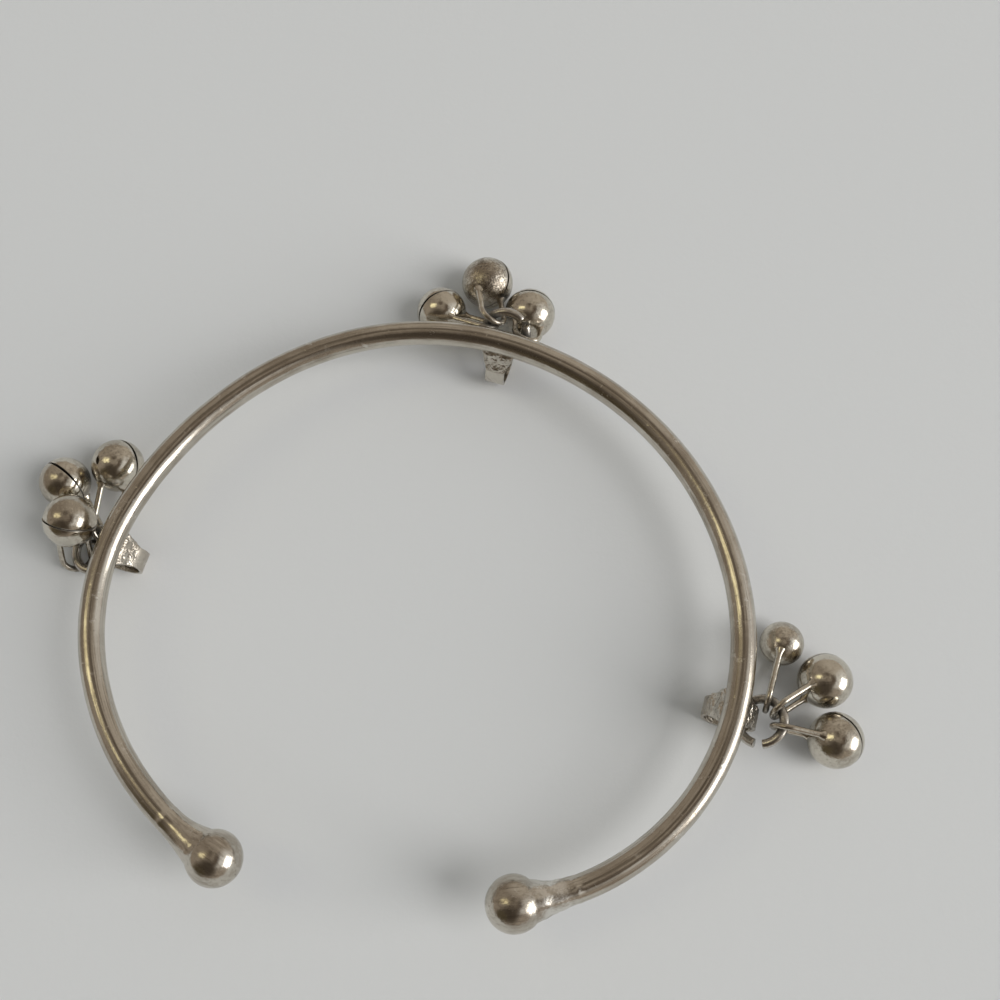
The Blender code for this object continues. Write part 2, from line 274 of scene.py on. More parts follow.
def jump_place(cluster):
    """The jump ring's centre and plane."""
    place, cuff, bells = cluster_place(cluster), sizes(), bell_sizes()
    reach = (bells.jump - bells.jump_wire) / 2
    hole = bells.jump / 2 - bells.jump_wire - bells.jump_gap
    slide = cluster.slide * cuff.strip_width
    room = sqrt(max(0.0, hole ** 2 - (cuff.strip_width / 2 + abs(slide)) ** 2))
    seat, tilt = radians(cluster.seat), radians(cluster.rise)
    toward = place.outward * cos(seat) + UP * sin(seat)
    inside = cuff.strip_diameter / 2 - cuff.strip_wall - (reach - room)
    rise = place.outward * cos(tilt) + UP * sin(tilt)
    centre = place.point + toward * inside + place.along * slide + rise * reach
    return Jump(centre, place.along, rise, place.along.cross(rise).normalized())


def round_jump(jump, degrees):
    turn = radians(degrees)
    return jump.along * cos(turn) + jump.rise * sin(turn)


def bell_centre(cluster, bell):
    place, largest = cluster_place(cluster), bell_sizes().bell
    centre = place.point + (place.outward * bell.out + place.along * bell.along) * largest
    centre.z = (bell.diameter / 2 + bell.lift) * largest
    return centre


def bell_hook(cluster, bell):
    """The centre of the loop's bend, and the loop's direction and normal."""
    jump, made = jump_place(cluster), bell_sizes()
    wire = jump.centre + round_jump(jump, bell.hook) * (made.jump - made.jump_wire) / 2
    aim = (bell_centre(cluster, bell) - wire).normalized()
    roll = radians(bell.roll)
    room = made.loop / 2 - made.loop_wire - made.jump_wire / 2 - made.loop_gap
    pull = round_jump(jump, bell.hook + 90)
    normal = (pull - aim * pull.dot(aim)).normalized()
    return wire + aim * room * cos(roll) ** 2, aim, Matrix.Rotation(roll, 3, aim) @ normal


# Modelling by hand: select, then act

def rest_hands():
    """Leave edit mode and select nothing."""
    if bpy.context.object and bpy.context.object.mode != "OBJECT":
        bpy.ops.object.mode_set(mode="OBJECT")
    bpy.ops.object.select_all(action="DESELECT")


def take(piece):
    """Select a piece and make it the active one."""
    bpy.context.view_layer.objects.active = piece
    piece.select_set(True)


def settle():
    """Put the selected piece's place, turn and scale into its mesh."""
    bpy.ops.object.transform_apply(location=True, rotation=True, scale=True)


def stretch(x, y, z):
    """In edit mode, scale the selected points about the origin."""
    bpy.ops.transform.resize(value=(x, y, z), center_override=(0, 0, 0))


def pick_all():
    bpy.ops.mesh.select_all(action="SELECT")


def pick(test, faces=False):
    """In edit mode, select the points, or the faces, whose middle passes the test."""
    bpy.ops.mesh.select_mode(type="FACE" if faces else "VERT")
    bpy.ops.mesh.select_all(action="DESELECT")
    mesh = bmesh.from_edit_mesh(bpy.context.object.data)
    for item in mesh.faces if faces else mesh.verts:
        item.select = bool(test(item.calc_center_median() if faces else item.co))
    mesh.select_flush_mode()
    bmesh.update_edit_mesh(bpy.context.object.data)


def pick_rim():
    """In edit mode, select the edges alone, so that a closed end stays where it is."""
    mesh = bmesh.from_edit_mesh(bpy.context.object.data)
    for face in mesh.faces:
        face.select = False
    for edge in mesh.edges:
        edge.select = True
    bmesh.update_edit_mesh(bpy.context.object.data)


def start_ring(name, point, way, radius, sides):
    """A ring of points square to a way, left in edit mode and selected."""
    rest_hands()
    turn = way.to_track_quat("Z", "Y").to_euler()
    bpy.ops.mesh.primitive_circle_add(vertices=sides, radius=radius, fill_type="NOTHING",
                                      location=point, rotation=turn)
    made = bpy.context.object
    made.name = made.data.name = name
    settle()
    bpy.ops.object.mode_set(mode="EDIT")
    bpy.ops.mesh.select_mode(type="VERT")
    pick_all()
    return made


def sweep_on(steps, angle, centre, axis):
    """Spin the selected ring counter-clockwise about the axis; its new last ring is selected."""
    bpy.ops.mesh.spin(steps=steps, angle=-angle, center=centre, axis=axis)


def push_on(move):
    """Extrude the selected ring by a move."""
    bpy.ops.mesh.extrude_region_move(TRANSFORM_OT_translate={"value": move})


def widen(factor, centre):
    bpy.ops.transform.resize(value=(factor,) * 3, center_override=centre)


def close_ring():
    """Close the selected ring of points with one face."""
    bpy.ops.mesh.edge_face_add()


def close_tip():
    """Draw the selected ring of points together into a pole."""
    bpy.ops.mesh.merge(type="CENTER")


def tidy_normals():
    pick_all()
    bpy.ops.mesh.remove_doubles(threshold=0.002 * MM)
    bpy.ops.mesh.normals_make_consistent(inside=False)
    bpy.ops.object.mode_set(mode="OBJECT")


def apply_modifier(piece, kind, **settings):
    """Add one modifier and apply it."""
    take(piece)
    step = piece.modifiers.new(kind.title(), kind)
    for name, value in settings.items():
        setattr(step, name, value)
    bpy.ops.object.modifier_apply(modifier=step.name)


def cloud(name, size, depth=2):
    """A soft noise for hand-made unevenness."""
    found = bpy.data.textures.get(name)
    if not found:
        found = bpy.data.textures.new(name, "CLOUDS")
        found.noise_scale = size
        found.noise_depth = depth
    return found


def dent(piece, name, size, depth, depth_steps=2, level=1.0):
    """Press the surface in unevenly; with a level below 1 some of it also stands out."""
    apply_modifier(piece, "DISPLACE", texture=cloud(name, size, depth_steps),
                   texture_coords="LOCAL", strength=depth, mid_level=level)


def smooth(piece, degrees):
    rest_hands()
    take(piece)
    bpy.ops.object.shade_smooth_by_angle(angle=radians(degrees))


def place_copy(pattern, name, matrix):
    """A copy of a pattern piece with its own mesh, moved to its place in the mesh."""
    rest_hands()
    made = pattern.copy()
    made.data = pattern.data.copy()
    made.name = made.data.name = name
    bpy.context.scene.collection.objects.link(made)
    take(made)
    made.matrix_world = matrix
    settle()
    return made


def join(pieces):
    """Join the pieces into the first of them."""
    rest_hands()
    for piece in reversed(pieces):
        take(piece)
    bpy.ops.object.join()
    return pieces[0]


def store(piece, name, kind, values):
    """Keep a value at each point of the mesh for the materials to read."""
    found = piece.data.attributes.get(name) or piece.data.attributes.new(name, kind, "POINT")
    key = "vector" if kind == "FLOAT_VECTOR" else "value"
    for item, value in zip(found.data, values):
        setattr(item, key, value)


def store_all(piece, name, value):
    store(piece, name, "FLOAT", [value] * len(piece.data.vertices))


def frame_matrix(x_axis, y_axis, z_axis, point):
    turned = Matrix((x_axis, y_axis, z_axis)).transposed().to_4x4()
    return Matrix.Translation(point) @ turned


def hand_over(piece, finish, nodes):
    """Give a piece its finish, hide the solids of the model that it stands for, and attach it to
    the root body.
    """
    piece.data.materials.clear()
    piece.data.materials.append(finish.material)
    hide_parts(*nodes)
    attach(piece, "root")


# Shader expressions

class Socket:
    """A node's output in an expression; its operators add Math nodes."""

    def __init__(self, tree, output):
        self.tree = tree
        self.output = output

    def math(self, operation, *values, clamp=False):
        return self.tree.node("ShaderNodeMath", {"operation": operation, "use_clamp": clamp},
                              dict(enumerate(values)))

    def __add__(self, other):
        return self.math("ADD", self, other)

    def __radd__(self, other):
        return self.math("ADD", other, self)

    def __sub__(self, other):
        return self.math("SUBTRACT", self, other)

    def __rsub__(self, other):
        return self.math("SUBTRACT", other, self)

    def __mul__(self, other):
        return self.math("MULTIPLY", self, other)

    def __rmul__(self, other):
        return self.math("MULTIPLY", other, self)

    def clamp(self):
        return self.math("ADD", self, 0.0, clamp=True)


class Nodes:
    """A node tree that is filled by one method."""

    def __init__(self, tree):
        self.tree = tree
        self.tree.nodes.clear()

    def node(self, kind, settings=None, values=None, output=0):
        """Add a node: its settings first, then the values or links of its sockets."""
        made = self.tree.nodes.new(kind)
        for name, value in (settings or {}).items():
            setattr(made, name, value)
        for key, value in (values or {}).items():
            if isinstance(value, Socket):
                self.tree.links.new(value.output, made.inputs[key])
            else:
                made.inputs[key].default_value = value
        return Socket(self, made.outputs[output]) if made.outputs else None

    def place(self):
        return self.node("ShaderNodeTexCoord", output="Object")

    def kept(self, name, kind="Fac"):
        """A value that the mesh keeps at its points."""
        return self.node("ShaderNodeAttribute", {"attribute_name": name}, output=kind)

    def noise(self, vector, pattern):
        """A noise; a pattern with three scales is stretched along the axes."""
        scale = pattern.scale
        if isinstance(scale, tuple):
            vector = self.node("ShaderNodeMapping", {"vector_type": "POINT"},
                               {"Vector": vector, "Scale": scale})
            scale = 1.0
        return self.node("ShaderNodeTexNoise", None,
                         {"Vector": vector, "Scale": scale, "Detail": pattern.detail,
                          "Roughness": pattern.roughness})

    def cells(self, vector, scale):
        return self.node("ShaderNodeTexVoronoi", None, {"Vector": vector, "Scale": scale},
                         output="Distance")

    def between(self, value, low, high):
        """0 below low and 1 above high, smooth between; low may be the higher."""
        return self.node("ShaderNodeMapRange", {"interpolation_type": "SMOOTHSTEP"},
                         {"Value": value, "From Min": low, "From Max": high}, output="Result")

    def patches(self, vector, pattern):
        """The places where a noise is strong."""
        return self.between(self.noise(vector, pattern), pattern.low, pattern.high)

    def blend(self, factor, first, second):
        return self.node("ShaderNodeMix", {"data_type": "RGBA", "blend_type": "MIX"},
                         {0: factor, 6: first, 7: second}, output=2)

    def bump(self, height, strength, depth, normal=None):
        values = {"Height": height, "Strength": strength, "Distance": depth}
        if normal:
            values["Normal"] = normal
        return self.node("ShaderNodeBump", None, values, output="Normal")


class Finish(Nodes):
    """One material."""

    def __init__(self, name):
        self.material = bpy.data.materials.new(name)
        self.material.use_nodes = True
        super().__init__(self.material.node_tree)

    def surface(self, values):
        shader = self.node("ShaderNodeBsdfPrincipled", None, values)
        self.node("ShaderNodeOutputMaterial", None, {"Surface": shader})
        return self.material


def opaque(shade):
    return (*shade, 1.0)


# Patterns in the silver: the noise's scale in a metre, its detail and roughness, and the two
# levels between which its mask rises. Those of the wire are stretched across, up and along.
Pattern = namedtuple("Pattern", "scale detail roughness low high", defaults=(0.0, 1.0))
CLOUDS = Pattern(260.0, 5.0, 0.6, 0.38, 0.68)
FINE = Pattern(2600.0, 6.0, 0.65)
SPECKS = Pattern(5200.0, 3.0, 0.7, 0.58, 0.72)
HAIRLINES = Pattern((400.0, 7000.0, 1500.0), 2.0, 0.6)
RUBBLE = Pattern(1300.0, 5.0, 0.7)
BLOTCHES = Pattern(750.0, 4.0, 0.6, 0.52, 0.64)
RIDGES = Pattern(900.0, 3.0, 0.6, 0.35, 0.65)
SOLDER_SPOTS = Pattern(900.0, 4.0, 0.6, 0.36, 0.52)
RUBS = Pattern(620.0, 5.0, 0.7, 0.60, 0.68)
WIRE_GRAIN = Pattern((2600.0, 2600.0, 60.0), 4.0, 0.65)
WIRE_LINES = Pattern((8000.0, 8000.0, 140.0), 3.0, 0.6)
WIRE_STREAKS = Pattern((4200.0, 4200.0, 90.0), 5.0, 0.7, 0.52, 0.66)
WIRE_NICKS = Pattern((1300.0, 1300.0, 4200.0), 2.0, 0.5, 0.70, 0.78)
DIMPLE_SCALE, DIMPLE_HEART, DIMPLE_RIM = 900.0, 0.02, 0.22
# Levels of the mask of tarnish and painted shade in the corners
TARNISH_AND_SHADE_LOW, TARNISH_AND_SHADE_HIGH = 0.20, 0.90
MIDDLE = 0.5  # the mean level of a noise


class Silver(Finish):
    """Worn silver, built up in layers of colour, gloss and relief."""

    def __init__(self, name, base, drawn=False, pits=0.0, lumps=0.0, rough=0.24, film=0.5,
                 scratch=1.0):
        super().__init__(name)
        self.look, self.at, self.wear = finish_of(), self.place(), self.kept("wear")
        self.shade, self.gloss, self.relief = opaque(base), rough, None
        straight = self.kept("drawn", "Vector") if drawn else None
        clouds, fine = self.noise(self.at, CLOUDS), self.noise(self.at, FINE)
        grain = self.noise(straight, WIRE_GRAIN) if drawn else fine
        tarnish_and_shade = self.tarnish(clouds, fine, grain, film)
        self.emboss(fine, 0.08, 0.04)
        if drawn:
            self.draw_marks(straight, grain, scratch)
        else:
            self.emboss(self.noise(self.at, HAIRLINES), 0.14 * scratch, 0.05)
        self.age(pits)
        if drawn:
            self.tint(self.kept("solder") * self.patches(self.at, SOLDER_SPOTS) * 0.85,
                      self.look.bright)
        if lumps:
            self.emboss(self.patches(self.at, RIDGES), lumps, 0.22)
        # The metallic look drops where the painted shade and tarnish of the corners lie
        self.surface({"Base Color": self.shade, "Roughness": self.gloss.clamp(),
                      "Normal": self.relief, "Metallic": 1.0 - tarnish_and_shade * 0.45})

    def tint(self, mask, shade):
        self.shade = self.blend(mask, self.shade, opaque(shade))

    def emboss(self, height, strength, depth):
        self.relief = self.bump(height, strength, depth * MM, self.relief)

    def tarnish(self, clouds, fine, grain, film):
        """Brown film in patches, dark specks, and black in the corners, partly tarnish and partly
        painted shade where pieces lie close.
        """
        edge = clouds + (grain - MIDDLE) * 0.9
        film_mask = self.between(edge, CLOUDS.low, CLOUDS.high) * (film + self.wear * 0.45)
        self.tint(film_mask, self.look.tarnish)
        specks = self.noise(self.at, SPECKS) + (clouds - MIDDLE) * 0.5 * self.wear
        speck_mask = self.between(specks, SPECKS.low, SPECKS.high) * (0.3 + self.wear * 0.6)
        self.tint(speck_mask, self.look.grime)
        # Painted shade and tarnish where pieces lie close: blacker, rougher and less metallic
        tarnish_and_shade = self.between(self.kept("grime") + (fine - MIDDLE) * 0.35, TARNISH_AND_SHADE_LOW, TARNISH_AND_SHADE_HIGH)
        self.tint(tarnish_and_shade, self.look.grime)
        self.gloss = self.gloss + (clouds - MIDDLE) * 0.22 + (grain - MIDDLE) * 0.22
        self.gloss = self.gloss + film_mask * 0.08 + tarnish_and_shade * 0.30
        return tarnish_and_shade

    def draw_marks(self, straight, grain, scratch):
        """Lines and streaks along the wire, nicks across it, and rubbed places."""
        lines = self.noise(straight, WIRE_LINES)
        nicks = self.patches(straight, WIRE_NICKS)
        streaks = self.patches(straight, WIRE_STREAKS)
        rubs = self.patches(self.at, RUBS)
        self.emboss(lines, 0.22 * scratch, 0.04)
        self.emboss(grain, 0.22 * scratch, 0.06)
        self.emboss(nicks, 0.2 * scratch, 0.04)
        self.tint(streaks * 0.5, self.look.streak)
        self.tint(nicks * 0.3, self.look.bright)
        self.tint(rubs * 0.55, self.look.bright)
        self.gloss = self.gloss + (lines - MIDDLE) * (0.2 * scratch) + rubs * 0.1
        self.gloss = self.gloss + streaks * 0.08

    def age(self, pits):
        """Dimples all over, and rubble and dark blotches where the piece is worn."""
        dimples = self.between(self.cells(self.at, DIMPLE_SCALE), DIMPLE_HEART, DIMPLE_RIM)
        self.emboss(dimples, 0.05 + pits, 0.05)
        self.emboss(self.noise(self.at, RUBBLE) * self.wear, 0.8, 0.20)
        self.tint(self.patches(self.at, BLOTCHES) * self.wear * 0.7, self.look.streak)


# The wire and its ball ends

NECK_ROWS, BALL_ROWS, LIP_ROWS = 14, 24, 4  # rings of points, and those that the neck's lip takes
NECK_MEETS_BALL = radians(131)  # measured round the ball from its tip
NECK_EDGE = 0.12 * MM  # where the plain wire ends before the neck
CREASE = 0.05 * MM  # the small step between the neck and the ball
NECK_SOLDER_MIDDLE = 0.62  # a share of the way from the ball to the wire
NECK_SOLDER_REACH = 2.4 * MM  # how far its solder runs, each way
NOTHING = 1e-7  # a stretch too short to make
SAMPLE_STEP = 0.25 * MM  # spacing of the samples of the centre line


def end_rows():
    """Distances back from the ball's centre and radii, from the neck's start to the tip."""
    cuff = sizes()
    ball, thin = cuff.ball / 2, cuff.wire / 2
    back, thick = -cos(NECK_MEETS_BALL) * ball, sin(NECK_MEETS_BALL) * ball
    rows = [(back + cuff.neck + NECK_EDGE, thin)]
    for k in range(NECK_ROWS):
        left = 1.0 - k / NECK_ROWS
        lip = cuff.neck_lip * max(0.0, 1.0 - k / LIP_ROWS)
        rows.append((back + cuff.neck * left, thin + (thick - thin) * (1.0 - left) ** 2 + lip))
    rows.append((back + CREASE, thick - CREASE))
    for k in range(1, BALL_ROWS):
        turn = NECK_MEETS_BALL * (1.0 - k / BALL_ROWS)
        rows.append((-cos(turn) * ball, sin(turn) * ball))
    return rows


def sweep_side(side):
    """Spin the selected ring along one side's arcs, then draw out the neck and the ball."""
    cuff, move = sizes(), shift() + UP * wire_height()
    turn = 1.0 if side == "left" else -1.0
    total = side_length(side)
    rows = end_rows()
    plain = total - rows[0][0]

    def bend_on(steps, run, radius, place):
        sweep_on(steps, turn * run / radius, place.point + move - place.outward * radius, UP)

    start = 0.0
    for arc in SIDES[side]:
        radius = arc.radius * cuff.half_width
        span = radius * radians(arc.sweep)
        run = min(start + span, plain) - start
        if run > 0.0:
            bend_on(max(1, round(run / cuff.wire_step)), run, radius,
                    walk(side, start + NOTHING))
        start += span
    done, thick = plain, cuff.wire / 2  # from here on the radius is the last arc's
    for back, wide in rows:
        distance = total - back
        curved = min(distance, total) - min(done, total)
        if curved > NOTHING:
            bend_on(1, curved, radius, walk(side, done))
        straight = max(distance, total) - max(done, total)
        if straight > NOTHING:
            push_on(walk(side, distance).along * straight)
        done = max(done, distance)
        widen(wide / thick, walk(side, done).point + move)
        thick = wide
    push_on(walk(side, done).along * (total + cuff.ball / 2 - done))
    close_tip()


def lay_out_wire(piece):
    """Keep each point's place on the wire as if it were straight: across, up and along."""
    samples = []
    for side, sense in (("left", -1.0), ("right", 1.0)):
        count = round((side_length(side) + sizes().ball / 2) / SAMPLE_STEP)
        for k in range(count + 1):
            distance = k * SAMPLE_STEP
            place = walk(side, distance)
            samples.append((place.point + shift() + UP * wire_height(), place, sense, distance))
    tree = KDTree(len(samples))
    for index, sample in enumerate(samples):
        tree.insert(sample[0], index)
    tree.balance()
    straight = []
    for vertex in piece.data.vertices:
        point, place, sense, distance = samples[tree.find(vertex.co)[1]]
        off = vertex.co - point
        straight.append((off.dot(place.outward), off.z, sense * (distance + off.dot(place.along))))
    store(piece, "drawn", "FLOAT_VECTOR", straight)


def solder_neck(piece):
    """Lump the right neck, where solder was left on it, and mark it for the finish."""
    total = side_length("right")
    middle = NECK_SOLDER_MIDDLE * (sizes().neck + 1.8 * MM)
    group = piece.vertex_groups.new(name="soldered")
    levels = []
    for vertex, kept in zip(piece.data.vertices, piece.data.attributes["drawn"].data):
        away = abs(total - kept.vector.z - middle)
        levels.append(min(1.0, 1.6 * max(0.0, 1.0 - away / NECK_SOLDER_REACH)))
        group.add([vertex.index], levels[-1], "REPLACE")
    apply_modifier(piece, "DISPLACE", texture=cloud("neck lumps", 1.1 * MM, 3),
                   texture_coords="LOCAL", strength=0.42 * MM, mid_level=0.62,
                   vertex_group="soldered")
    piece.vertex_groups.clear()
    store(piece, "wear", "FLOAT", [0.45 * level for level in levels])
    store(piece, "solder", "FLOAT", levels)


class BRACELET_OT_wire(bpy.types.Operator):
    """Spin the open wire along its arcs and draw out a neck and a ball at each end"""

    bl_idname = "bracelet.wire"
    bl_label = "Cuff wire"

    def execute(self, context):
        cuff = sizes()
        back = walk("right", 0.0)
        middle = back.point + shift() + UP * wire_height()
        piece = start_ring("cuff_wire", middle, back.along, cuff.wire / 2, cuff.wire_sides)
        sweep_side("right")
        pick(lambda co: abs((co - middle).dot(back.along)) < TOUCH
             and (co - middle).length < cuff.wire)
        sweep_side("left")
        tidy_normals()
        dent(piece, "hand bends", 7.0 * MM, cuff.dents)
        dent(piece, "hammer marks", 1.6 * MM, cuff.dents * 0.5)
        lay_out_wire(piece)
        solder_neck(piece)
        smooth(piece, 60)
        finish = Silver("drawn_wire_silver", finish_of().wire_colour, drawn=True, pits=0.04,
                        rough=0.15, film=0.65)
        hand_over(piece, finish, ["cuff"])
        return {"FINISHED"}


# Flat rings and solder

STRIP_STEPS = 96  # rows of points round a flat ring
SADDLE_REACH = radians(56)  # how far the solder runs round it, each way
SADDLE_ROWS, SADDLE_LAYERS = 14, 5  # rows each way, layers from the ring outwards
SADDLE_ACROSS = 14  # columns of points over its width
SADDLE_TOP = 0.955  # its height, as a share of the wire's axis
SADDLE_FOOT = 1.03  # its width at the ends, as a share of the strip's
SADDLE_TAPER = 1.3  # how fast it narrows to that width
SADDLE_COVER = 0.05 * MM  # the least thickness on the ring
HAIR = 1e-6  # moves each layer a hair further out


def flat_ring_pattern():
    """A flat strip spun into a ring about the X axis, at the origin."""
    cuff = sizes()
    rest_hands()
    bpy.ops.mesh.primitive_plane_add(size=1.0, rotation=(pi / 2, 0, 0))
    pattern = bpy.context.object
    settle()
    bpy.ops.object.mode_set(mode="EDIT")
    pick_all()
    stretch(cuff.strip_width, 1.0, cuff.strip_wall)
    bpy.ops.transform.translate(value=(0, 0, (cuff.strip_diameter - cuff.strip_wall) / 2))
    bpy.ops.mesh.delete(type="ONLY_FACE")
    pick_all()
    bpy.ops.mesh.subdivide(number_cuts=3)
    pick_all()
    sweep_on(STRIP_STEPS, 2 * pi, (0, 0, 0), (1, 0, 0))
    tidy_normals()
    apply_modifier(pattern, "BEVEL", width=0.07 * MM, segments=2, limit_method="ANGLE",
                   angle_limit=radians(50))
    return pattern


class BRACELET_OT_flat_rings(bpy.types.Operator):
    """Spin a flat strip into a ring and set one under the wire for each cluster"""

    bl_idname = "bracelet.flat_rings"
    bl_label = "Flat rings"

    def execute(self, context):
        pattern, base = flat_ring_pattern(), finish_of().wire_colour
        plain = Silver("strip_silver", base, pits=0.25, rough=0.26, film=0.45)
        wrinkled = Silver("wrinkled_strip_silver", base, pits=0.35, lumps=0.9, rough=0.32,
                          film=0.5)
        for key, cluster in CLUSTERS.items():
            finish, worn = (wrinkled, 0.35) if key == WRINKLED_RING else (plain, 0.08)
            piece = place_copy(pattern, "flat_ring_" + key, ring_matrix(cluster))
            dent(piece, "strip waves", 1.8 * MM, 0.10 * MM)
            store_all(piece, "wear", worn)
            smooth(piece, 50)
            hand_over(piece, finish, ["cuff"])
        bpy.data.objects.remove(pattern)
        return {"FINISHED"}


def saddle_pattern():
    """A saddle over the top of a ring at the origin, as thick and wide as the ring's wall."""
    cuff = sizes()
    ring = cuff.strip_diameter / 2
    inner = ring - cuff.strip_wall * 0.6
    rest_hands()
    bpy.ops.mesh.primitive_grid_add(x_subdivisions=SADDLE_ACROSS,
                                    y_subdivisions=SADDLE_LAYERS, size=1.0)
    pattern = bpy.context.object
    bpy.ops.object.mode_set(mode="EDIT")
    pick_all()
    bpy.ops.transform.resize(value=(cuff.strip_width, ring - inner, 1.0))
    bpy.ops.transform.rotate(value=-pi / 2, orient_axis="X", center_override=(0, 0, 0))
    bpy.ops.transform.translate(value=(0, 0, (ring + inner) / 2))
    sweep_on(SADDLE_ROWS, SADDLE_REACH, (0, 0, 0), (1, 0, 0))
    pick(lambda co: abs(co.y) < TOUCH / 2)
    sweep_on(SADDLE_ROWS, -SADDLE_REACH, (0, 0, 0), (1, 0, 0))
    pick_all()
    bpy.ops.mesh.remove_doubles(threshold=0.004 * MM)
    axle = ring - cuff.solder_sink + cuff.wire / 2
    edge = asin(cuff.wire / 2 / axle)
    for k in range(-SADDLE_ROWS, SADDLE_ROWS + 1):
        bearing = SADDLE_REACH * k / SADDLE_ROWS
        slope = max(0.0, (abs(bearing) - edge) / (SADDLE_REACH - edge))
        top = axle * SADDLE_TOP
        if abs(bearing) >= edge:
            top = ring + (top - ring) * (1 - slope) ** 2
        full = (1 - slope) ** SADDLE_TAPER
        wide = cuff.solder_length * full + cuff.strip_width * SADDLE_FOOT * (1 - full)
        shape_row(bearing, inner, ring, max(top, ring + SADDLE_COVER), wide / cuff.strip_width)
    tidy_normals()
    apply_modifier(pattern, "SMOOTH", factor=0.5, iterations=5)
    apply_modifier(pattern, "SUBSURF", levels=1, render_levels=1)
    return pattern


def shape_row(bearing, inner, ring, top, widening):
    """Widen one row of the saddle and raise its layers from the ring's height to the top."""
    def in_row(co):
        return abs(atan2(co.y, co.z) - bearing) < 0.15 * SADDLE_REACH / SADDLE_ROWS

    spoke = Vector((0.0, sin(bearing), cos(bearing)))
    pick(in_row)
    stretch(widening, 1, 1)
    step = (ring - inner) / SADDLE_LAYERS
    for layer in range(1, SADDLE_LAYERS + 1):
        old = inner + step * layer
        new = inner + (top - inner) * layer / SADDLE_LAYERS
        pick(lambda co: in_row(co) and abs(hypot(co.y, co.z) - old) < 0.2 * step)
        bpy.ops.transform.translate(value=spoke * (new - old + HAIR))


class BRACELET_OT_solder(bpy.types.Operator):
    """Fill the hollow between the wire and each flat ring with a lumpy saddle of solder"""

    bl_idname = "bracelet.solder"
    bl_label = "Solder"

    def execute(self, context):
        pattern = saddle_pattern()
        finish = Silver("solder_silver", finish_of().wire_colour, pits=0.15, lumps=0.55,
                        rough=0.20, film=0.5)
        for key, cluster in CLUSTERS.items():
            piece = place_copy(pattern, "solder_" + key, ring_matrix(cluster))
            dent(piece, "solder lumps", 0.8 * MM, 0.40 * MM, 3, 0.55)
            store_all(piece, "wear", 0.25)
            smooth(piece, 60)
            hand_over(piece, finish, ["cuff"])
        bpy.data.objects.remove(pattern)
        return {"FINISHED"}


# Jump rings

JUMP_SIDES, JUMP_STEPS = 20, 56  # points round the wire, and rings of points along it


class BRACELET_OT_jump_rings(bpy.types.Operator):
    """Spin round wire into an open jump ring through each flat ring"""

    bl_idname = "bracelet.jump_rings"
    bl_label = "Jump rings"

    def execute(self, context):
        made = bell_sizes()
        reach = (made.jump - made.jump_wire) / 2
        finish = Silver("jump_ring_silver", finish_of().link_colour, pits=0.10, rough=0.20,
                        film=0.4)
        for key, cluster in CLUSTERS.items():
            jump = jump_place(cluster)
            start = cluster.cut + cluster.cut_width / 2
            piece = start_ring("open_jump_ring_" + key,
                               jump.centre + round_jump(jump, start) * reach,
                               round_jump(jump, start + 90), made.jump_wire / 2, JUMP_SIDES)
            close_ring()
            pick_rim()
            sweep_on(JUMP_STEPS, radians(360 - cluster.cut_width), jump.centre, jump.normal)
            close_ring()
            tidy_normals()
            apply_modifier(piece, "BEVEL", width=0.09 * MM, segments=2, limit_method="ANGLE",
                           angle_limit=radians(60))
            dent(piece, "wire waves", 1.5 * MM, 0.06 * MM)
            store_all(piece, "wear", 0.1)
            smooth(piece, 45)
            hand_over(piece, finish, ["jump_ring_" + key])
        return {"FINISHED"}


# Bells

SHELL_SEGMENTS, SHELL_RINGS = 64, 36  # points round a bell, and from pole to pole
SEAM_MARGIN = 0.03 * MM  # points within this of the open seam belong to its rim
SEAM_DEPTH = 0.982  # the groove's radius, as a share of the bell's
SEAM_SOOT, SEAM_SPREAD = 0.9, 0.16 * MM  # how black the seam is, and how far to each side
INSIDE = 0.3 * MM  # below this depth the shell is black
HOLE_SIZE, HOLE_SHAPE = 0.5 * MM, (0.42, 0.95, 0.95)
LOOP_SIDES, LOOP_STEPS = 14, 20  # points round the wire, and rings of points on its bend

# The soldered foot of a loop: heights, and widths as shares of the wire's.
Collar = namedtuple("Collar", "height width")
LOOP_FOOT = (Collar(0.0, 1.7), Collar(0.25 * MM, 1.45), Collar(0.42 * MM, 1.18),
             Collar(0.62 * MM, 1.0))


def bell_pattern():
    """One thin ball at the origin, of the largest size, with its seam level and open at +X."""
    made = bell_sizes()
    radius, open_half = made.bell / 2, made.slot_sweep / 2
    rest_hands()
    bpy.ops.mesh.primitive_uv_sphere_add(segments=SHELL_SEGMENTS, ring_count=SHELL_RINGS,
                                         radius=radius)
    pattern = bpy.context.object
    bpy.ops.object.mode_set(mode="EDIT")
    pick(lambda co: abs(co.z) < TOUCH)
    bpy.ops.mesh.select_mode(type="EDGE")
    bpy.ops.mesh.bevel(offset=made.slot / 2, segments=2, affect="EDGES")
    near = made.slot / 2 + SEAM_MARGIN
    pick(lambda middle: abs(middle.z) < near
         and abs(atan2(middle.y, middle.x)) < open_half, faces=True)
    bpy.ops.mesh.delete(type="FACE")
    step = 2 * pi / SHELL_SEGMENTS
    for k in range(SHELL_SEGMENTS):
        around = (k - SHELL_SEGMENTS / 2) * step
        gap = made.seam / made.slot
        if abs(around) < open_half:
            gap = max(gap, cos(pi * around / made.slot_sweep))
        pick(lambda co: abs(co.z) < near
             and abs((atan2(co.y, co.x) - around + pi) % (2 * pi) - pi) < step / 4)
        stretch(1, 1, gap)
    pick(lambda co: abs(co.z) < 0.4 * TOUCH and co.length > radius * 0.9)
    stretch(SEAM_DEPTH, SEAM_DEPTH, 1)
    tidy_normals()
    return pattern


def draw_foot(collars, base, up):
    """Draw the selected ring through the collars of a soldered foot."""
    for last, collar in zip(collars, collars[1:]):
        push_on(up * (collar.height - last.height))
        widen(collar.width / last.width, base + up * collar.height)


